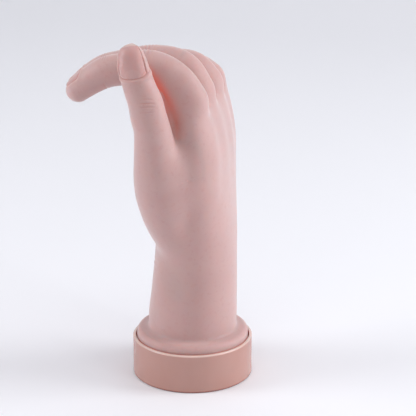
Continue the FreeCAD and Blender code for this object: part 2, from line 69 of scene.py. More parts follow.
# Fingers: y, then stations in the finger's plane with x, z, half height and half width.
FINGERS = {
    "index": (
        -28.0,
        [
            (3.2, 168.6, 11.8, 9.3),
            (-2.2, 176.9, 11.5, 9.0),
            (-9, 183, 10.4, 8.7),
            (-18, 185.9, 9.7, 8.8),
            (-29.5, 184.6, 8.8, 8.3),
            (-40.5, 182.3, 8.5, 8.2),
            (-49.2, 177.2, 7.7, 7.6),
            (-56.5, 171.6, 6.8, 6.9),
        ],
    ),
    "middle": (
        -9.5,
        [
            (2.4, 168.8, 12.4, 9.3),
            (-2.8, 178.1, 12.0, 9.0),
            (-9.5, 182.4, 10.8, 8.7),
            (-21, 183.6, 9.8, 8.8),
            (-33, 181.6, 9.0, 8.4),
            (-45.2, 178.4, 8.8, 8.3),
            (-54, 173.4, 7.9, 7.8),
            (-61, 168, 6.8, 7.0),
        ],
    ),
    "ring": (
        9.0,
        [
            (3.4, 168.3, 12.1, 9.2),
            (-2.0, 174.8, 11.5, 8.9),
            (-10, 177.2, 10.2, 8.5),
            (-19, 177.8, 9.4, 8.6),
            (-30, 176.6, 8.7, 8.1),
            (-41, 174.4, 8.5, 8.0),
            (-49.5, 171.3, 7.7, 7.5),
            (-56, 167.2, 6.6, 6.7),
        ],
    ),
    "little": (
        26.3,
        [
            (2.6, 166.6, 10.2, 8.6),
            (-3, 170.8, 9.4, 8.2),
            (-13.5, 172.2, 8.4, 7.8),
            (-22, 171.6, 7.8, 7.3),
            (-31, 170.2, 7.6, 7.2),
            (-38.5, 168.0, 6.9, 6.8),
            (-44, 165.2, 5.9, 6.0),
        ],
    ),
}
# The joints past the knuckle, in the finger's plane: x and z.
PIP = {"index": (-18, 186), "middle": (-21, 183.6), "ring": (-19, 178.2), "little": (-13.5, 172.8)}
DIP = {"index": (-40.5, 183.3), "middle": (-45.2, 178.4), "ring": (-41, 174.4), "little": (-31, 171)}
# Where the finger's own skin begins, as a share of the way from the knuckle to the middle joint.
SEAM_SHARE = 0.56

# Thumb stations: x, y, z, half x, half y.
THUMB = [
    (-2, -12, 78, 9.5, 10.5),
    (-5, -17, 90, 13.3, 13.8),
    (-7.8, -22.5, 103, 15.0, 15.6),
    (-9.9, -28.5, 116.5, 14.9, 15.4),
    (-11.0, -33.8, 129, 13.5, 13.6),
    (-11.4, -38.4, 141, 11.7, 11.4),
    (-12.0, -42.6, 155, 10.0, 9.4),
    (-13.6, -44.9, 164, 9.7, 8.6),
    (-14.8, -46.2, 171.5, 9.4, 8.2),
    (-17.2, -46.7, 178.5, 8.8, 7.9),
    (-19.6, -47, 186, 8.4, 7.6),
    (-21.2, -47.3, 192.5, 7.9, 7.1),
    (-21.8, -47.4, 196.4, 7.0, 6.4),
]
# The web between the thumb and the index finger, and the ball below the little finger: as the thumb.
WEB = [
    (-1, -27, 120, 12, 9),
    (-4, -29.5, 138, 10, 8),
    (-6.5, -30.5, 151, 8.6, 7),
    (-9.5, -30, 163, 8.0, 7),
    (-11, -29, 172, 8.4, 7.5),
]
HEEL = [(-3, 16, 84, 11, 10), (-3.5, 21, 104, 12, 12), (-3, 23, 122, 11, 12), (-2, 22, 138, 9, 11)]

# How widely one form is rounded into the next.
BACK_ROUND, WEB_ROUND, FINGER_ROUND, CUFF_JOIN = 9.0, 7.0, 6.5, 3.0
# The same between thumb and palm: in the crevice, beside the thumb, and what the web adds.
CREVICE_ROUND, SIDE_ROUND, WEB_FILL = 0.8, 5.2, 15.0
# How far from the thumb the cut between its skin and the palm's may run.
CUT_REACH = 12.0

# Hollows on the side of the wrist and over the back of the thumb's root: centre, spread, depth.
HOLLOWS = [((-5, -25, 60), (11, 11, 16), 2.0), ((-1, -37, 158), (7, 7, 10), 2.2)]


def unit(v):
    v = np.asarray(v, float)
    return v / np.linalg.norm(v)


def dense(points, step):
    """A Catmull-Rom curve through rows of numbers, sampled about every step millimetres."""
    p = np.asarray(points, float)
    ends = np.vstack([2 * p[0] - p[1], p, 2 * p[-1] - p[-2]])
    rows = []
    for i in range(len(p) - 1):
        a, b, c, d = ends[i : i + 4]
        n = max(2, int(np.linalg.norm((c - b)[:3]) / step))
        for t in np.arange(n) / n:
            square = 2 * a - 5 * b + 4 * c - d
            cube = 3 * b - a - 3 * c + d
            rows.append(0.5 * (2 * b + (c - a) * t + square * t * t + cube * t**3))
    rows.append(p[-1])
    return np.array(rows)


def smoothstep(a, b, x):
    t = np.clip((x - a) / (b - a), 0, 1)
    return t * t * (3 - 2 * t)


def smooth_min(a, b, k):
    h = np.maximum(k - np.abs(a - b), 0) / k
    return np.minimum(a, b) - h * h * h * k / 6


def smooth_max(a, b, k):
    return -smooth_min(-a, -b, k)


PALM_ROWS = dense(PALM, 1.0)


def palm_distance(p):
    z = p[:, 2]
    cx, hx, cy, hy, n = (np.interp(z, PALM_ROWS[:, 0], PALM_ROWS[:, i]) for i in range(1, 6))
    u = np.abs(p[:, 0] - cx) / hx + 1e-6
    v = np.abs(p[:, 1] - cy) / hy + 1e-6
    g = (u**n + v**n) ** (1 / n)
    slope = np.sqrt(((u / g) ** (n - 1) / hx) ** 2 + ((v / g) ** (n - 1) / hy) ** 2)
    d = (g - 1) / slope
    return smooth_max(d, z - PALM_END, PALM_END_ROUND)


def cuff_distance(p):
    r = np.hypot(p[:, 0], p[:, 1])
    z = p[:, 2] - CUFF_RISE * np.clip(CUFF_R - r, 0, CUFF_RISE_WIDTH)
    middle, half = (CUFF_LOW + CUFF_TOP) / 2, (CUFF_TOP - CUFF_LOW) / 2
    a = r - (CUFF_R - CUFF_ROUND)
    b = np.abs(z - middle) - (half - CUFF_ROUND)
    return np.hypot(np.maximum(a, 0), np.maximum(b, 0)) + np.minimum(np.maximum(a, b), 0) - CUFF_ROUND


class Chain:
    """A limb: a run of balls along a curve, with its section squashed across y.

    Its distance is true up to reach from its box, and only roughly right further out.
    """

    BATCH = 60000
    MOST_LEAN = 5.0

    def __init__(self, rows, step=1.6, reach=13.0):
        self.rows = dense(rows, step)
        self.reach = reach
        self.low = (self.rows[:, :3] - self.rows[:, 3:5].max(1)[:, None]).min(0)
        self.high = (self.rows[:, :3] + self.rows[:, 3:5].max(1)[:, None]).max(0)
        self.start, self.run = self.rows[:-1], np.diff(self.rows, axis=0)
        self.square = (self.run[:, :3] ** 2).sum(1)
        lean = self.rows[1:, 3] * np.abs(self.run[:, 3]) / self.square
        self.window = 2 + int(np.ceil(min(lean.max(), self.MOST_LEAN)))

    def distance(self, p):
        if len(p) > self.BATCH:
            starts = range(0, len(p), self.BATCH)
            return np.concatenate([self.distance(p[i : i + self.BATCH]) for i in starts])
        gap = np.maximum(np.maximum(self.low - p, p - self.high), 0)
        far = np.linalg.norm(gap, axis=1)
        out = far + 1.0
        near = far < self.reach
        q = p[near]
        best = np.full(len(q), 1e9)
        c = self.rows
        square = (q[:, :1] - c[:, 0]) ** 2 + (q[:, 2:3] - c[:, 2]) ** 2
        square += ((q[:, 1:2] - c[:, 1]) * (c[:, 3] / c[:, 4])) ** 2
        nearest = (np.sqrt(square) - c[:, 3]).argmin(1)
        for shift in range(-self.window, self.window):
            i = np.clip(nearest + shift, 0, len(self.run) - 1)
            a, run = self.start[i], self.run[i]
            o = q - a[:, :3]
            t = np.clip((o * run[:, :3]).sum(1) / self.square[i], 0, 1)
            o -= t[:, None] * run[:, :3]
            r = a[:, 3] + t * run[:, 3]
            w = a[:, 4] + t * run[:, 4]
            d = np.sqrt(o[:, 0] ** 2 + (o[:, 1] * r / w) ** 2 + o[:, 2] ** 2) - r
            best = np.minimum(best, d)
        out[near] = best + (out[near] - best) * smoothstep(self.reach - 5, self.reach, far[near])
        return out


def ridge_rows(y, knuckle):
    """The raised bone on the back of the hand that runs up to a finger's knuckle."""
    x, z, half_height, _ = knuckle
    return [
        (9.2, 0.86 * y, 118, 7.5, 6.0),
        (9.7, 0.92 * y, 140, 7.7, 6.6),
        (5.9, 0.97 * y, 156, 8.0, 7.2),
        (x, y, z - 0.6, half_height - 3.0, 7.6),
    ]


chains = {}
ridges = {}
for name, (y, stations) in FINGERS.items():
    chains[name] = Chain([(x, y, z, h, w) for x, z, h, w in stations])
    ridges[name] = Chain(ridge_rows(y, stations[0]))
thumb_chain = Chain(THUMB, reach=23.0)
web = Chain(WEB)
heel = Chain(HEEL, step=6)


def finger_axis(name):
    d = np.array([PIP[name][0] - KNUCKLE[0], 0, PIP[name][1] - KNUCKLE[2]])
    return unit(d), np.linalg.norm(d)


def back_and_palm(p):
    d = palm_distance(p)
    for name in FINGERS:
        d = smooth_min(d, ridges[name].distance(p), BACK_ROUND)
    d = smooth_min(d, web.distance(p), WEB_ROUND)
    return smooth_min(d, heel.distance(p), BACK_ROUND)


def hand_base(p):
    d = back_and_palm(p)
    for name in FINGERS:
        axis, length = finger_axis(name)
        run = (p - KNUCKLE) @ axis
        seam = SEAM_SHARE * length
        k = 0.05 + FINGER_ROUND * (1 - smoothstep(0.25 * seam, 0.86 * seam, run))
        d = smooth_min(d, chains[name].distance(p), k)
    return smooth_min(d, cuff_distance(p), CUFF_JOIN)


def thumb_join(p):
    """How far the skin is rounded between the thumb and the palm: wide at the web, a crevice above it."""
    height = p[:, 2] - 0.3 * (p[:, 0] + 2)
    beside = 1 - smoothstep(140, 154, height)
    at_web = smoothstep(96, 122, height) * (1 - smoothstep(130, 152, height))
    return CREVICE_ROUND + SIDE_ROUND * beside + WEB_FILL * at_web


def with_thumb(p, hand):
    return smooth_min(hand, thumb_chain.distance(p), thumb_join(p))


def whole_base(p):
    return with_thumb(p, hand_base(p))


# Corners of a tetrahedron, for gradients from four samples.
CORNERS = np.array([(1.0, -1, -1), (-1, -1, 1), (-1, 1, -1), (1, 1, 1)])


def gradient(field, p, h=0.02):
    return sum(field(p + h * c)[:, None] * c for c in CORNERS) / (4 * h)


def settle(field, p, level=0.0, rounds=3):
    """Moves points onto a level of the field."""
    for _ in range(rounds):
        g = gradient(field, p)
        s = (g * g).sum(1)
        step = ((field(p) - level) / np.maximum(s, 0.05))[:, None] * g
        size = np.linalg.norm(step, axis=1, keepdims=True)
        p = p - step * np.minimum(1, 0.8 / np.maximum(size, 1e-9))
    return p


# ---- Creases and nails ----


class Crease:
    """A groove in the skin along a line, fading out at its ends."""

    def __init__(self, points, depth, width, base):
        line = dense(points, 0.6)
        self.line = settle(base, line, 0.0, 6)
        n = len(line)
        t = np.arange(n) / (n - 1)
        self.depth = depth * np.sin(np.pi * np.clip(t, 0.02, 0.98)) ** 0.6
        self.width = width
        self.low = self.line.min(0) - 3.2 * width
        self.high = self.line.max(0) + 3.2 * width

    def relief(self, p):
        near = ((p > self.low) & (p < self.high)).all(1)
        out = np.zeros(len(p))
        q = p[near]
        if not len(q):
            return out
        best = np.full(len(q), 1e9)
        depth = np.zeros(len(q))
        for a, b, da, db in zip(self.line[:-1], self.line[1:], self.depth[:-1], self.depth[1:]):
            along = b - a
            t = np.clip(((q - a) @ along) / max(along @ along, 1e-9), 0, 1)
            d = ((q - a - t[:, None] * along) ** 2).sum(1)
            closer = d < best
            best = np.where(closer, d, best)
            depth = np.where(closer, da + t * (db - da), depth)
        w2 = self.width**2
        groove = np.exp(-best / w2) - 0.22 * np.exp(-((np.sqrt(best) - 2.0 * self.width) ** 2) / w2)
        out[near] = depth * groove
        return out


class Nail:
    """A nail plate with a groove and a low fold of skin round it."""

    def __init__(self, root, tip, up, half_width, radius, arch=0.75, bold=0.65):
        self.root = np.asarray(root, float)
        self.along = unit(np.subtract(tip, root))
        up = np.asarray(up, float)
        self.up = unit(up - (up @ self.along) * self.along)
        self.side = np.cross(self.up, self.along)
        self.length = np.linalg.norm(np.subtract(tip, root))
        self.half_width = half_width
        self.radius = radius
        self.arch = arch
        self.bold = bold

    def local(self, p):
        q = p - self.root
        a = q @ self.along
        e = q @ self.up + self.radius
        s = q @ self.side
        b = self.radius * np.arctan2(s, e)
        return a, b

    def plate(self, a, b):
        """Distance outside the plate's outline, negative on the plate."""
        w = self.half_width
        low = w * self.arch
        side = np.abs(b) - w * (1 - 0.05 * smoothstep(0, self.length, a))
        bottom = low - a
        corner = np.hypot(np.abs(b) / w * low, bottom) - low
        base = np.where(bottom > 0, corner, side)
        tip = a + 0.10 * b * b / w - self.length
        return base, tip

    def relief(self, p):
        out = np.zeros(len(p))
        near = (np.abs(p - self.root) < self.length + 9).all(1)
        if not near.any():
            return out
        a, b = self.local(p[near])
        g, tip = self.plate(a, b)
        free = smoothstep(-0.55 * self.length, 0, tip)
        inside = smoothstep(0.15, -0.25, g) * smoothstep(0.1, -0.15, tip)
        side = 1 - smoothstep(-1.5, 0.6, tip)
        raised = 0.12 + 0.38 * free
        root = 1 - smoothstep(0.3, 0.75, a / self.length)
        groove = (0.26 + 0.30 * root) * np.exp(-((g - 0.15) / 0.42) ** 2) * side
        fold = (0.34 + 0.12 * root) * np.exp(-((g - 1.35) / 0.95) ** 2) * side
        under = 0.35 * np.exp(-((tip - 0.5) / 0.5) ** 2) * smoothstep(0.6, -0.3, g)
        out[near] = self.bold * (-raised * inside + groove - fold + under)
        return out

    def mask(self, p):
        """1 on the plate, 0 off it."""
        a, b = self.local(p)
        g, tip = self.plate(a, b)
        on = smoothstep(0.25, -0.1, g) * smoothstep(0.25, -0.05, tip)
        return on * (((p - self.root) @ self.up) > -self.radius)

    def pale(self, p):
        """The pale half-moon at the root and the pale free edge."""
        a, b = self.local(p)
        moon = 1 - smoothstep(0.0, 0.7, np.hypot(b / 0.85, (a + 0.5)) - 0.30 * self.length)
        edge = smoothstep(-1.3, -0.8, a + 0.10 * b * b / self.half_width - self.length)
        return np.maximum(0.18 * moon, edge)


SPREAD = (-1, -0.5, 0, 0.5, 1)
# Creases over the middle joint and over the end joint: offset along the finger, half length, depth.
WRINKLES = [
    (-3.4, 3.6, 0.16),
    (-1.9, 4.9, 0.26),
    (-0.4, 5.4, 0.30),
    (1.2, 5.0, 0.26),
    (2.8, 3.9, 0.16),
]
END_WRINKLES = [(-1.3, 3.6, 0.2), (0.2, 4.3, 0.24), (1.6, 3.4, 0.16)]
# Wrinkles over the thumb's knuckle and folds under it: height, half length, depth.
THUMB_WRINKLES = [(175.6, 3.4, 0.26), (173.4, 4.9, 0.42), (171.4, 4.2, 0.34), (169.0, 3.2, 0.30)]
THUMB_FOLDS = [(170.3, 5.6, 0.36), (173.6, 4.6, 0.22)]
# The little finger's creases and nail are smaller by this.
LITTLE_SHARE = 0.86


def cross_line(centre, side, ends, middle=0.0):
    """Points from one side to the other; ends and middle shift the ends and the middle."""
    return [centre + side * s + ends * s * s + middle * (1 - s * s) for s in SPREAD]


def upright(direction):
    """The upper of the two directions square to one in the finger's plane."""
    up = np.array([-direction[2], 0, direction[0]])
    return up if up[2] > 0 else -up


creases = {}
nails = {}
for name, (y, stations) in FINGERS.items():
    base = chains[name].distance
    made = []
    share = LITTLE_SHARE if name == "little" else 1.0
    pip = np.array([PIP[name][0], y, PIP[name][1]])
    dip = np.array([DIP[name][0], y, DIP[name][1]])
    end_x, end_z, end_radius, _ = stations[-1]
    tip_centre = np.array([end_x, y, end_z])
    run = unit(dip - pip)
    up = upright(run)
    last = unit(tip_centre - dip)
    last_up = upright(last)
    for offset, half, depth in WRINKLES:
        bow = -0.5 if offset < -1 else 0.5 if offset > 0 else 0.15
        side = np.array([0, half * share, 0])
        line = cross_line(pip + up * 9.0 + run * offset, side, -2.6 * up, 1.2 * bow * run)
        made.append(Crease(line, depth, 0.42, base))
    for offset, half, depth in END_WRINKLES:
        side = np.array([0, half * share, 0])
        line = cross_line(dip + up * 8.0 + run * offset, side, -2.0 * up)
        made.append(Crease(line, depth, 0.36, base))
    # Folds under the joints.
    under = [(pip, run, 1.0, 0.42), (pip, run, -1.6, 0.30), (dip, unit(run + last), 0.6, 0.40)]
    for joint, direction, offset, depth in under:
        side = np.array([0, 6.6 * share, 0])
        line = cross_line(joint - up * 8.6 + direction * offset, side, 4.2 * up)
        made.append(Crease(line, depth, 0.5, base))
    creases[name] = made
    nail_tip = tip_centre + last_up * (end_radius + 0.3) + last * (end_radius * 0.52)
    nail_root = nail_tip - last * 11.0 * share
    nails[name] = Nail(nail_root, nail_tip, last_up, 5.1 * share, end_radius + 0.9)

thumb_made = []
for z, half, depth in THUMB_WRINKLES:
    centre = np.array([-11.6 - 0.10 * (z - 172), -54.0, z])
    bow = 0.35 if z > 171 else -0.35
    line = cross_line(centre, np.array([half, 0, 0]), np.array([0, 0.8, 0]), np.array([0, 0, bow]))
    thumb_made.append(Crease(line, depth, 0.42, thumb_chain.distance))
for z, half, depth in THUMB_FOLDS:
    line = cross_line(np.array([-14.8, -38.4, z]), np.array([half, 0, 0]), np.array([0, -0.9, 0]))
    thumb_made.append(Crease(line, depth, 0.5, thumb_chain.distance))
creases["thumb"] = thumb_made
nails["thumb"] = Nail(
    (-19.2, -54.3, 186.6), (-21.9, -54.4, 204.2), (-0.05, -1, 0.0), 7.9, 8.6, arch=0.24, bold=1.0
)

# Life, head and heart lines, then the two folds at the wrist: points, depth, width.
HAND_LINES = [
    (
        [(-12, -30, 133), (-12, -18, 139), (-12, -8, 133), (-14, -1, 120), (-16, 2, 104), (-18, 1, 90)],
        0.55,
        0.9,
    ),
    ([(-12, -28, 136), (-12, -14, 141), (-12, 0, 136), (-13, 12, 126), (-14, 20, 118)], 0.42, 0.75),
    ([(-10, 36, 141), (-12, 24, 143), (-12, 10, 148), (-12, -4, 153), (-11, -14, 158)], 0.5, 0.8),
    ([(-20, -22, 71), (-23, -10, 69), (-24, 2, 68.6), (-22, 14, 69.4), (-17, 23, 71)], 0.36, 0.8),
    ([(-21, -16, 66.6), (-24, -5, 65.4), (-24, 6, 65.2), (-21, 16, 66.4)], 0.2, 0.7),
]
hand_lines = [Crease(points, depth, width, back_and_palm) for points, depth, width in HAND_LINES]


def line_relief(p):
    return sum(c.relief(p) for c in hand_lines)


def hand_relief(p):
    out = line_relief(p)
    for centre, spread, depth in HOLLOWS:
        out += depth * np.exp(-(((p - centre) / spread) ** 2).sum(1))
    return out


def hand_field(p):
    return hand_base(p) + hand_relief(p)


def whole_field(p):
    return with_thumb(p, hand_field(p)) + sum(c.relief(p) for c in creases["thumb"])


def digit_relief(name, p):
    return sum(c.relief(p) for c in creases[name]) + nails[name].relief(p)


def digit_field(name, p):
    chain = thumb_chain if name == "thumb" else chains[name]
    return chain.distance(p) + digit_relief(name, p)


def thumb_blank(p):
    """The thumb with its nail and without its creases, to lay the mesh's first grid on."""
    return thumb_chain.distance(p) + nails["thumb"].relief(p)


def behind_web(p):
    """The palm as it goes on behind the thumb, a little inside the skin."""
    return hand_field(p) + LINING


def inside_web(p):
    """The thumb as it goes on inside the palm, a little inside the skin."""
    return thumb_chain.distance(p) + LINING


# ---- Meshing ----

# Voxels in a block's side, and how many blocks from the surface are filled in finely.
BLOCK, NEAR_BLOCKS = 4, 1.75


def mesh_field(field, low, high, voxel):
    """Quads on the field's zero, from a grid that is only filled in near the surface."""
    step = BLOCK
    n = np.ceil(np.subtract(high, low) / (voxel * step)).astype(int) + 1
    axes = [low[i] + voxel * step * (np.arange(n[i]) + 0.5) - voxel * 0.5 for i in range(3)]
    coarse = np.stack(np.meshgrid(*axes, indexing="ij"), -1).reshape(-1, 3)
    value = field(coarse).reshape(n)
    near = np.abs(value) < voxel * step * NEAR_BLOCKS
    full = np.repeat(np.repeat(np.repeat(value, step, 0), step, 1), step, 2)
    cells = np.argwhere(near)
    offsets = np.stack(np.meshgrid(*[np.arange(step)] * 3, indexing="ij"), -1).reshape(-1, 3)
    index = (cells[:, None, :] * step + offsets[None]).reshape(-1, 3)
    points = np.asarray(low) + index * voxel
    full[index[:, 0], index[:, 1], index[:, 2]] = field(points)
    grid = openvdb.FloatGrid(1000.0)
    grid.copyFromArray(np.ascontiguousarray(full.astype(np.float32)))
    verts, quads = grid.convertToQuads(0.0)
    verts = np.asarray(verts, float) * voxel + np.asarray(low)
    return verts, np.asarray(quads, np.int64)


def to_triangles(v, quads):
    a = np.linalg.norm(v[quads[:, 0]] - v[quads[:, 2]], axis=1)
    b = np.linalg.norm(v[quads[:, 1]] - v[quads[:, 3]], axis=1)
    one = np.where((a <= b)[:, None], quads[:, [0, 1, 2]], quads[:, [0, 1, 3]])
    two = np.where((a <= b)[:, None], quads[:, [0, 2, 3]], quads[:, [1, 2, 3]])
    return np.vstack([one, two])


def split(v, tris, f):
    """The part of a triangle mesh where f is above zero, cut along f = 0."""
    f = f.copy()
    v = v.copy()
    edges = np.sort(np.vstack([tris[:, [0, 1]], tris[:, [1, 2]], tris[:, [2, 0]]]), 1)
    edges = np.unique(edges, axis=0)
    fa, fb = f[edges[:, 0]], f[edges[:, 1]]
    cross = fa * fb < 0
    ce, ca, cb = edges[cross], fa[cross], fb[cross]
    t = ca / (ca - cb)
    for near, share in ((0, t < 0.2), (1, t > 0.8)):
        pick = ce[share]
        at = t[share][:, None]
        spot = v[pick[:, 0]] * (1 - at) + v[pick[:, 1]] * at
        v[pick[:, near]] = spot
        f[pick[:, near]] = 0.0
    cross = f[edges[:, 0]] * f[edges[:, 1]] < 0
    ce = edges[cross]
    t = f[ce[:, 0]] / (f[ce[:, 0]] - f[ce[:, 1]])
    extra = v[ce[:, 0]] * (1 - t[:, None]) + v[ce[:, 1]] * t[:, None]
    made = {(int(a), int(b)): len(v) + i for i, (a, b) in enumerate(ce)}
    v = np.vstack([v, extra])
    s = np.sign(f[tris])
    keep = tris[(s >= 0).all(1) & (s > 0).any(1)]
    mixed = tris[(s > 0).any(1) & (s < 0).any(1)]
    new = []
    for tri in mixed:
        ring = []
        for i in range(3):
            a, b = int(tri[i]), int(tri[(i + 1) % 3])
            if f[a] >= 0:
                ring.append(a)
            key = (min(a, b), max(a, b))
            if f[a] * f[b] < 0:
                ring.append(made[key])
        for i in range(1, len(ring) - 1):
            new.append((ring[0], ring[i], ring[i + 1]))
    out = np.vstack([keep, np.array(new, np.int64).reshape(-1, 3)])
    return compact(v, out)


def compact(v, tris):
    """The same triangles without the points that none of them uses."""
    used = np.unique(tris)
    index = np.full(len(v), -1, np.int64)
    index[used] = np.arange(len(used))
    return v[used], index[tris]


def largest(v, tris):
    """Only the biggest connected part of a triangle mesh."""
    label = np.arange(len(v))
    while True:
        low = label[tris].min(1)
        before = label.copy()
        for i in range(3):
            np.minimum.at(label, tris[:, i], low)
        label = label[label]
        if (label == before).all():
            break
    names, counts = np.unique(label[tris[:, 0]], return_counts=True)
    return compact(v, tris[label[tris[:, 0]] == names[counts.argmax()]])


def outward(v, tris, field):
    """Turns the triangles so that they face out."""
    n = np.cross(v[tris[:, 1]] - v[tris[:, 0]], v[tris[:, 2]] - v[tris[:, 0]])
    g = gradient(field, v[tris].mean(1)[:400])
    if (n[:400] * g).sum() < 0:
        return tris[:, ::-1]
    return tris


def shell(name, v, tris, field, base, seams, relief):
    """A skin piece: the outer surface, an inner wall SKIN inside it, and rims between them."""
    tris = outward(v, tris, field)
    g = gradient(field, v)
    normal = g / np.linalg.norm(g, axis=1, keepdims=True)
    soft = gradient(base, v, 0.2)
    soft /= np.linalg.norm(soft, axis=1, keepdims=True)
    inner = settle(base, v - SKIN * soft, -SKIN, 2)
    edges = np.vstack([tris[:, [0, 1]], tris[:, [1, 2]], tris[:, [2, 0]]])
    key = edges[:, 0] * len(v) + edges[:, 1]
    back = edges[:, 1] * len(v) + edges[:, 0]
    rim = edges[~np.isin(key, back)]
    n = len(v)
    border = np.unique(rim)
    copy = np.full(n, -1, np.int64)
    copy[border] = np.arange(len(border))
    top = 2 * n + copy
    bottom = 2 * n + len(border) + copy
    points = np.vstack([v, inner, v[border], inner[border]])
    a, b = rim[:, 0], rim[:, 1]
    sides = np.stack([top[b], top[a], bottom[a], bottom[b]], 1)
    faces = [tuple(f) for f in tris.tolist()] + [tuple(f) for f in (tris[:, ::-1] + n).tolist()]
    faces += [tuple(f) for f in sides.tolist()]
    mesh = bpy.data.meshes.new(name)
    mesh.from_pydata((points * MM).tolist(), [], faces)
    mesh.shade_smooth()
    ends = np.zeros((len(points), 3))
    ends[:n] = normal
    ends[n : 2 * n] = -soft
    mesh.update()
    auto = np.empty(len(points) * 3)
    mesh.vertices.foreach_get("normal", auto)
    ends[2 * n :] = auto.reshape(-1, 3)[2 * n :]
    mesh.normals_split_custom_set_from_vertices(ends.tolist())
    reach = np.full(len(points), 50.0)
    for centre, direction, radius in seams:
        q = points - centre
        flat = np.abs(q @ unit(direction))
        reach = np.minimum(reach, np.where(np.linalg.norm(q, axis=1) < radius, flat, 50.0))
    # How deep the creases and the nail's groove are, which the skin material uses to paint shade into
    # them.
    depth = np.zeros(len(points))
    depth[:n] = np.clip((relief(v) - 0.06) / 0.8, 0, 0.7)
    mesh.attributes.new("fold", "FLOAT", "POINT").data.foreach_set("value", depth.astype(np.float32))
    fade = mesh.attributes.new("seam", "FLOAT", "POINT")
    fade.data.foreach_set("value", smoothstep(0.3, 4.5, reach).astype(np.float32))
    obj = bpy.data.objects.new(name, mesh)
    bpy.context.scene.collection.objects.link(obj)
    return obj


def paint_nail(obj, nail):
    """Marks a piece's nail plate and the nail's pale parts for the skin material."""
    mesh = obj.data
    co = np.empty(len(mesh.vertices) * 3)
    mesh.vertices.foreach_get("co", co)
    p = co.reshape(-1, 3) / MM
    for label, value in (("nail", nail.mask(p)), ("pale", nail.pale(p))):
        attribute = mesh.attributes.new(label, "FLOAT", "POINT")
        attribute.data.foreach_set("value", value.astype(np.float32))


# ---- Materials ----


def grey(value):
    return (value, value, value, 1)


def make_material(name):
    m = bpy.data.materials.new(name)
    m.use_nodes = True
    t = m.node_tree
    return m, t, t.nodes["Principled BSDF"]


def node(tree, kind, **values):
    """A shader node; a value's name is a socket, or a property of the node if it starts with _."""
    n = tree.nodes.new(kind)
    for key, value in values.items():
        if key.startswith("_"):
            setattr(n, key[1:], value)
        else:
            n.inputs[key.replace("_", " ")].default_value = value
    return n


def mix(tree, factor, a, b):
    """A colour mix; factor, a and b are sockets or plain values."""
    n = tree.nodes.new("ShaderNodeMix")
    n.data_type = "RGBA"
    for socket, value in ((n.inputs[0], factor), (n.inputs[6], a), (n.inputs[7], b)):
        if isinstance(value, bpy.types.NodeSocket):
            tree.links.new(value, socket)
        else:
            socket.default_value = value
    return n.outputs[2]


def ramp(tree, source, low, high):
    """0 to 1 as source goes from low to high."""
    n = tree.nodes.new("ShaderNodeMapRange")
    n.inputs["From Min"].default_value = low
    n.inputs["From Max"].default_value = high
    tree.links.new(source, n.inputs["Value"])
    return n.outputs["Result"]


SKIN_TONE = (0.545, 0.336, 0.316, 1)
SKIN_WARM = (0.530, 0.300, 0.275, 1)
SKIN_PALE = (0.575, 0.372, 0.352, 1)
# Painted glow: the red laid into crevices, standing in for light that shines through the skin.
SKIN_CREVICE_GLOW = (0.86, 0.20, 0.12, 1)
# Painted shade: the darker red laid into creases.
SKIN_CREASE_SHADE = (0.52, 0.17, 0.13, 1)
NAIL_PLATE = (0.56, 0.33, 0.31, 1)
NAIL_PALE = (0.64, 0.46, 0.43, 1)
RING_TONE = (0.480, 0.262, 0.220, 1)
RING_LIGHT = (0.515, 0.290, 0.247, 1)
# Painted glow: the red laid into the ring's gap and hollows.
RING_CREVICE_GLOW = (0.92, 0.24, 0.13, 1)
# Painted highlight: the pale band along the top edge of the lip.
RING_LIP_HIGHLIGHT = (0.74, 0.55, 0.49, 1)
# Painted shadow: the dark band at the foot, where the ring stands on the floor.
RING_FOOT_SHADOW = (0.26, 0.10, 0.085, 1)


def attribute(tree, name):
    n = tree.nodes.new("ShaderNodeAttribute")
    n.attribute_name = name
    return n.outputs["Fac"]


def openness(tree, distance):
    """How open a place is to its surroundings within distance: 1 in the open, 0 in a crevice."""
    n = tree.nodes.new("ShaderNodeAmbientOcclusion")
    n.samples = 8
    n.inputs["Distance"].default_value = distance
    return n.outputs["AO"]


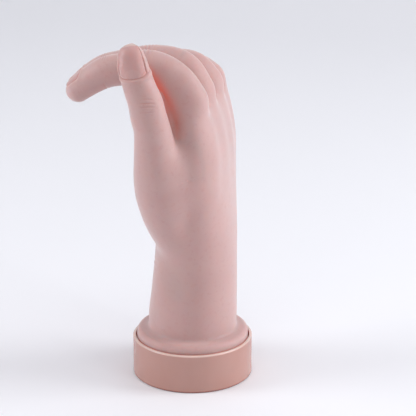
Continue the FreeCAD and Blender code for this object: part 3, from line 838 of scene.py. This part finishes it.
def skin_material():
    """Soft silicone: mottled tone, a painted glow in the crevices, painted shade in the creases, paler
    nails, fine grain and a little subsurface glow.
    """
    m, t, shader = make_material("skin_silicone")
    place = t.nodes.new("ShaderNodeTexCoord").outputs["Object"]
    broad = node(t, "ShaderNodeTexNoise", Scale=22.0, Detail=3.0, Roughness=0.5)
    fine = node(t, "ShaderNodeTexNoise", Scale=420.0, Detail=2.0, Roughness=0.6)
    grain = node(t, "ShaderNodeTexVoronoi", Scale=1500.0)
    for n in (broad, fine, grain):
        t.links.new(place, n.inputs["Vector"])
    tone = mix(t, ramp(t, broad.outputs["Fac"], 0.35, 0.68), SKIN_TONE, SKIN_PALE)
    mottled = mix(t, ramp(t, fine.outputs["Fac"], 0.55, 0.9), tone, SKIN_WARM)
    # Painted glow: crevices, open to little around them, turn a saturated red.
    crevice_glow = mix(t, ramp(t, openness(t, 0.018), 0.62, 0.12), mottled, SKIN_CREVICE_GLOW)
    nail = attribute(t, "nail")
    plate = mix(t, attribute(t, "pale"), NAIL_PLATE, NAIL_PALE)
    colour = mix(t, nail, crevice_glow, plate)
    # Painted shade: creases and the nail's groove turn a darker red by their depth.
    colour = mix(t, attribute(t, "fold"), colour, SKIN_CREASE_SHADE)
    t.links.new(colour, shader.inputs["Base Color"])
    # The glow fades out at the seams, where two pieces' edges would show as lines.
    weight = node(t, "ShaderNodeMath", _operation="MULTIPLY")
    weight.inputs[1].default_value = 0.55
    t.links.new(attribute(t, "seam"), weight.inputs[0])
    t.links.new(weight.outputs[0], shader.inputs["Subsurface Weight"])
    shader.inputs["Subsurface Radius"].default_value = (1.0, 0.38, 0.26)
    shader.inputs["Subsurface Scale"].default_value = 0.0035
    gloss = ramp(t, fine.outputs["Fac"], 0.2, 0.8)
    rough = mix(t, nail, mix(t, gloss, grey(0.40), grey(0.50)), grey(0.27))
    t.links.new(rough, shader.inputs["Roughness"])
    shader.inputs["IOR"].default_value = 1.43
    shader.inputs["Sheen Weight"].default_value = 0.55
    shader.inputs["Sheen Roughness"].default_value = 0.42
    bump = node(t, "ShaderNodeBump", Strength=0.10, Distance=0.00012)
    t.links.new(grain.outputs["Distance"], bump.inputs["Height"])
    t.links.new(bump.outputs["Normal"], shader.inputs["Normal"])
    return m


def ring_material():
    """Smooth moulded plastic, with a painted glow in the gap, a painted highlight along the lip and a
    painted shadow at the foot.
    """
    m, t, shader = make_material("ring_plastic")
    place = t.nodes.new("ShaderNodeTexCoord").outputs["Object"]
    cloud = node(t, "ShaderNodeTexNoise", Scale=35.0, Detail=3.0)
    spark = node(t, "ShaderNodeTexNoise", Scale=900.0, Detail=2.0)
    for n in (cloud, spark):
        t.links.new(place, n.inputs["Vector"])
    tone = mix(t, ramp(t, cloud.outputs["Fac"], 0.3, 0.7), RING_TONE, RING_LIGHT)
    # Painted glow: the ring's hollows and the gap round the cuff turn a saturated red.
    tone = mix(t, ramp(t, openness(t, 0.006), 0.60, 0.12), tone, RING_CREVICE_GLOW)
    apart = t.nodes.new("ShaderNodeSeparateXYZ")
    t.links.new(place, apart.inputs[0])
    # Painted highlight: a pale band along the top edge of the lip.
    tone = mix(t, ramp(t, apart.outputs["Z"], 0.0216, 0.0223), tone, RING_LIP_HIGHLIGHT)
    # Painted shadow: darker towards the bottom edge, where the ring stands on the floor.
    tone = mix(t, ramp(t, apart.outputs["Z"], 0.0012, 0.0004), tone, RING_FOOT_SHADOW)
    t.links.new(tone, shader.inputs["Base Color"])
    rough = mix(t, spark.outputs["Fac"], grey(0.20), grey(0.28))
    t.links.new(rough, shader.inputs["Roughness"])
    shader.inputs["Subsurface Weight"].default_value = 0.25
    shader.inputs["Subsurface Radius"].default_value = (1.0, 0.4, 0.28)
    shader.inputs["Subsurface Scale"].default_value = 0.002
    bump = node(t, "ShaderNodeBump", Strength=0.06, Distance=0.0001)
    t.links.new(spark.outputs["Fac"], bump.inputs["Height"])
    t.links.new(bump.outputs["Normal"], shader.inputs["Normal"])
    return m


def plain_material(name, dark, light, rough, metal, scale, stretch):
    """Moulded plastic, foam or worked metal: a grain that moves colour, gloss and relief together."""
    m, t, shader = make_material(name)
    place = t.nodes.new("ShaderNodeTexCoord").outputs["Object"]
    map_ = node(t, "ShaderNodeMapping", Scale=stretch)
    t.links.new(place, map_.inputs["Vector"])
    noise = node(t, "ShaderNodeTexNoise", Scale=scale, Detail=4.0)
    t.links.new(map_.outputs["Vector"], noise.inputs["Vector"])
    colour = mix(t, noise.outputs["Fac"], (*dark, 1), (*light, 1))
    t.links.new(colour, shader.inputs["Base Color"])
    gloss = mix(t, noise.outputs["Fac"], grey(rough[0]), grey(rough[1]))
    t.links.new(gloss, shader.inputs["Roughness"])
    shader.inputs["Metallic"].default_value = metal
    bump = node(t, "ShaderNodeBump", Strength=0.15, Distance=0.0002)
    t.links.new(noise.outputs["Fac"], bump.inputs["Height"])
    t.links.new(bump.outputs["Normal"], shader.inputs["Normal"])
    return m


EVEN = (1, 1, 1)
# Name, dark and light colour, roughness range, metallic, grain scale and stretch.
PLAIN = {
    "foam": (
        "open_foam", (0.70, 0.62, 0.50), (0.86, 0.80, 0.68), (0.80, 0.95), 0.0, 900.0, EVEN,
    ),
    "core": (
        "core_nylon", (0.62, 0.56, 0.50), (0.72, 0.67, 0.61), (0.42, 0.55), 0.0, 260.0, EVEN,
    ),
    "bush": (
        "bush_acetal", (0.74, 0.74, 0.72), (0.84, 0.84, 0.82), (0.30, 0.42), 0.0, 320.0, EVEN,
    ),
    "alloy": (
        "turned_alloy", (0.60, 0.61, 0.62), (0.72, 0.73, 0.74), (0.24, 0.40), 1.0, 240.0, (1, 1, 12),
    ),
    "steel": (
        "bright_steel", (0.48, 0.48, 0.49), (0.60, 0.60, 0.61), (0.18, 0.32), 1.0, 420.0, (1, 1, 6),
    ),
    "spring_steel": (
        "spring_steel", (0.34, 0.34, 0.36), (0.46, 0.46, 0.48), (0.26, 0.40), 1.0, 380.0, (6, 1, 1),
    ),
}
skin = skin_material()
materials = {"skin": skin, "housing": ring_material()}
for slot, values in PLAIN.items():
    materials[slot] = plain_material(*values)


def dress(obj, material):
    obj.data.materials.clear()
    obj.data.materials.append(material)


# ---- The skin pieces ----

# Voxels for the palm and the linings, and for the digits.
coarse = 0.75
fine = 0.42
LINING_VOXEL = 1.2


def seam_of(name):
    """A point on the cut between a finger's skin and the hand's, and the way the finger runs there."""
    axis, length = finger_axis(name)
    y = FINGERS[name][0]
    return np.array([KNUCKLE[0], y, KNUCKLE[2]]) + axis * SEAM_SHARE * length, axis


# The thumb root's skin starts at this plane low on the thumb, and ends at the middle one.
thumb_low = np.array(THUMB[4][:3], float)
thumb_low_dir = unit(np.subtract(THUMB[5][:3], THUMB[3][:3]))
thumb_mid = (THUMB_PIVOT + THUMB_KNUCKLE) / 2
thumb_mid_dir = unit(THUMB_KNUCKLE - THUMB_PIVOT)

# Seams: a point, the direction across the seam, and how far from the point the seam reaches.
FINGER_SEAM_R, BALL_SEAM_R = 15.0, 19.0
finger_seams = {name: (*seam_of(name), FINGER_SEAM_R) for name in FINGERS}
ball_seam = (thumb_low, thumb_low_dir, BALL_SEAM_R)
thumb_seam = (thumb_mid, thumb_mid_dir, FINGER_SEAM_R)


def off_palm(p):
    """How much farther the thumb's surface is than the palm's."""
    return thumb_chain.distance(p) - hand_base(p)


def on_thumb(p):
    """Above zero where the skin belongs to the thumb rather than the palm."""
    root = 1 - smoothstep(-1.0, 0.5, (p - thumb_mid) @ thumb_mid_dir)
    near = np.minimum(thumb_join(p), CUT_REACH) * root - off_palm(p)
    return np.minimum(near, (p - thumb_low) @ thumb_low_dir)


def past_seams(p):
    """Above zero on the part of a finger past its seam with the hand's skin."""
    near = {name: chains[name].distance(p) for name in FINGERS}
    out = np.full(len(p), -50.0)
    for name in FINGERS:
        centre, axis = seam_of(name)
        others = np.min([near[n] for n in FINGERS if n != name], 0)
        # Only the finger's own surface is cut away, not the web's that reaches beyond the seam.
        own = np.minimum(others - near[name], 20 * (0.15 - near[name]))
        out = np.maximum(out, np.minimum((p - centre) @ axis, own))
    return out


def skin_mesh(field, low, high, voxel, rounds=3, first=None):
    """Triangles on a field's zero; first, if given, is a simpler field to lay the grid on."""
    v, quads = mesh_field(first or field, low, high, voxel)
    v = settle(field, v, 0.0, rounds)
    return v, to_triangles(v, quads)


# Palm, back, knuckles and cuff in one skin.
v, t = skin_mesh(whole_field, (-30, -56, 17.2), (33, 40, 204), coarse)
v, t = split(v, t, v[:, 2] - SKIN_FOOT)
v, t = split(v, t, -past_seams(v))
v, t = split(v, t, -on_thumb(v))
v, t = largest(v, t)
hand_seams = [*finger_seams.values(), ball_seam]
hand = shell("skin_hand", v, t, whole_field, whole_base, hand_seams, line_relief)
dress(hand, skin)
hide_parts("glove_hand", "glove_knuckles")
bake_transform(hand)

# Thumb root.
v, t = skin_mesh(whole_field, (-32, -58, 120), (18, -20, 166), fine)
v, t = split(v, t, on_thumb(v))
v, t = split(v, t, -(v - thumb_mid) @ thumb_mid_dir)
v, t = largest(v, t)
root_seams = [ball_seam, thumb_seam]
thumb_root = shell("skin_thumb_base", v, t, whole_field, whole_base, root_seams, line_relief)
dress(thumb_root, skin)
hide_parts("glove_thumb_base")
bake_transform(thumb_root)

# Under the web, the palm's side goes on behind the thumb, so that no gap shows when the thumb opens.
v, t = skin_mesh(behind_web, (-30, -50, 118), (20, -4, 178), LINING_VOXEL)
v, t = split(v, t, thumb_join(v) + 3.0 - off_palm(v))
v, t = split(v, t, (v - thumb_low) @ thumb_low_dir + 2.0)
v, t = split(v, t, 2.0 - past_seams(v))
v, t = largest(v, t)
palm_lining = shell("skin_web_palm", v, t, behind_web, behind_web, [], line_relief)
dress(palm_lining, skin)
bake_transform(palm_lining)

# And the thumb's side goes on inside the palm.
v, t = skin_mesh(inside_web, (-30, -60, 120), (10, -24, 170), LINING_VOXEL)
v, t = split(v, t, (v - thumb_low) @ thumb_low_dir - 0.5)
v, t = split(v, t, -(v - thumb_mid) @ thumb_mid_dir)
v, t = largest(v, t)
thumb_lining = shell("skin_web_thumb", v, t, inside_web, inside_web, [], line_relief)
dress(thumb_lining, skin)
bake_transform(thumb_lining)

# Thumb end.
thumb_field = partial(digit_field, "thumb")
v, t = skin_mesh(thumb_field, (-34, -60, 150), (2, -34, 207), fine, 4, thumb_blank)
v, t = split(v, t, (v - thumb_mid) @ thumb_mid_dir)
v, t = largest(v, t)
thumb_relief = partial(digit_relief, "thumb")
thumb = shell("skin_thumb", v, t, thumb_field, thumb_chain.distance, [thumb_seam], thumb_relief)
paint_nail(thumb, nails["thumb"])
dress(thumb, skin)
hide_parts("glove_thumb_joint", "glove_thumb_tip")
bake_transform(thumb)

# Fingers.
for name, (y, stations) in FINGERS.items():
    field = partial(digit_field, name)
    chain = chains[name]
    low = chain.low - 2.0
    high = chain.high + 2.0
    high[0] = min(high[0], 8.0)
    v, t = skin_mesh(field, low, high, fine, 4)
    centre, axis, _ = finger_seams[name]
    v, t = split(v, t, (v - centre) @ axis)
    v, t = largest(v, t)
    relief = partial(digit_relief, name)
    piece = shell("skin_" + name, v, t, field, chain.distance, [finger_seams[name]], relief)
    paint_nail(piece, nails[name])
    dress(piece, skin)
    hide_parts(f"glove_{name}_joint", f"glove_{name}_tip")
    pip = np.array([PIP[name][0], y, PIP[name][1]])
    half = 5.3 if name == "little" else 6.0
    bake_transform(piece)

# ---- The carried parts ----

FINISH = {
    "wrist_housing": "housing",
    "end_cover": "housing",
    "cover_screws": "steel",
    "bearing_bush": "bush",
    "friction_ring": "bush",
    "mounting_stud": "steel",
    "retaining_ring": "spring_steel",
    "wave_washer": "spring_steel",
    "wrist_hub": "core",
    "wrist_post": "alloy",
    "hub_screws": "steel",
    "frame_screws": "steel",
    "hand_frame": "alloy",
    "thumb_bracket": "alloy",
    "knuckle_shaft": "steel",
    "shaft_clips": "spring_steel",
    "thumb_pivot_pin": "steel",
}
for name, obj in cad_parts.items():
    if name in FINISH:
        slot = FINISH[name]
    elif name.startswith("glove"):
        slot = "skin"
    elif name.endswith("_pin"):
        slot = "steel"
    elif name.startswith("palm_core") or name.endswith("_pad"):
        slot = "foam"
    else:
        slot = "core"
    dress(obj, materials[slot])

# ---- Floor, light and camera ----


def paper_material(name, colour):
    """Matt paper, with a tone that wanders a little."""
    m, t, shader = make_material(name)
    noise = node(t, "ShaderNodeTexNoise", Scale=3.0)
    darker = tuple(0.985 * c for c in colour)
    paper = mix(t, noise.outputs["Fac"], (*colour, 1), (*darker, 1))
    t.links.new(paper, shader.inputs["Base Color"])
    shader.inputs["Roughness"].default_value = 0.55
    shader.inputs["Specular IOR Level"].default_value = 0.2
    return m


# From here on lengths are metres. The paper lies flat, then turns up behind the object in an arc.
PAPER = 3.0
BEND_AT, BEND_R, BEND_STEPS = 0.8, 0.9, 12
rows = [(-PAPER, 0.0), (BEND_AT, 0.0)]
for i in range(1, BEND_STEPS + 1):
    angle = math.radians(90 * i / BEND_STEPS)
    rows.append((BEND_AT + BEND_R * math.sin(angle), BEND_R * (1 - math.cos(angle))))
rows.append((BEND_AT + BEND_R, PAPER))
verts = []
faces = []
for i, (y, z) in enumerate(rows):
    verts += [(-PAPER, y, z), (PAPER, y, z)]
    if i:
        a = 2 * i
        faces.append((a - 2, a - 1, a + 1, a))
floor_mesh = bpy.data.meshes.new("floor")
floor_mesh.from_pydata(verts, [], faces)
floor_mesh.shade_smooth()
floor = bpy.data.objects.new("floor", floor_mesh)
bpy.context.scene.collection.objects.link(floor)
floor_mesh.materials.append(paper_material("paper", (0.90, 0.90, 0.93)))

world = bpy.data.worlds.new("studio")
world.use_nodes = True
background = world.node_tree.nodes["Background"]
background.inputs["Color"].default_value = (0.93, 0.94, 1.0, 1)
background.inputs["Strength"].default_value = 0.38
bpy.context.scene.world = world

AIM = Vector((0.00876, 0.00132, 0.09849))
CAMERA_AZIMUTH, CAMERA_ELEVATION, CAMERA_DISTANCE, CAMERA_LENS = 12, 19.4, 1.05, 162.26
COOL = (0.97, 0.98, 1.0)
WHITE = (1, 1, 1)
# Lamps aimed at the object: azimuth, elevation, distance, width, height, power, colour.
LAMPS = {
    "left": (-72, 18, 1.1, 0.5, 1.3, 7.4, COOL),
    "right": (100, 20, 1.1, 0.5, 1.3, 9.4, COOL),
    "top": (20, 78, 1.3, 1.0, 1.0, 4.2, WHITE),
    "front": (5, 30, 1.6, 1.2, 1.2, 1.0, (1.0, 0.98, 0.96)),
    "strip": (58, 12, 0.9, 0.05, 0.9, 1.2, WHITE),
}


def direction(azimuth, elevation):
    """From the object out: azimuth 0 is in front of it, and grows to the right."""
    a = math.radians(azimuth)
    e = math.radians(elevation)
    return Vector((math.sin(a) * math.cos(e), -math.cos(a) * math.cos(e), math.sin(e)))


def place(name, data, location, look):
    """Puts a light or camera in the scene, looking along look."""
    obj = bpy.data.objects.new(name, data)
    bpy.context.scene.collection.objects.link(obj)
    obj.location = location
    obj.rotation_mode = "QUATERNION"
    obj.rotation_quaternion = look.to_track_quat("-Z", "Y")
    return obj


def area_light(name, width, height, power, colour):
    data = bpy.data.lights.new(name, "AREA")
    data.shape = "RECTANGLE"
    data.size = width
    data.size_y = height
    data.energy = power
    data.color = colour
    return data


for name, (azimuth, elevation, distance, width, height, power, colour) in LAMPS.items():
    away = direction(azimuth, elevation)
    light = area_light(name, width, height, power, colour)
    place(name, light, AIM + away * distance, -away)
wash = area_light("backdrop", 2.0, 0.6, 4.2, WHITE)
place("backdrop", wash, Vector((-0.1, 0.65, 1.5)), Vector((0.0, 1.0, -0.85)))

camera_data = bpy.data.cameras.new("camera")
camera_data.lens = CAMERA_LENS
camera_data.sensor_width = 36
camera_data.clip_end = 20
away = direction(CAMERA_AZIMUTH, CAMERA_ELEVATION)
camera = place("camera", camera_data, AIM + away * CAMERA_DISTANCE, -away)
bpy.context.scene.camera = camera
bpy.context.scene.view_settings.view_transform = "Standard"
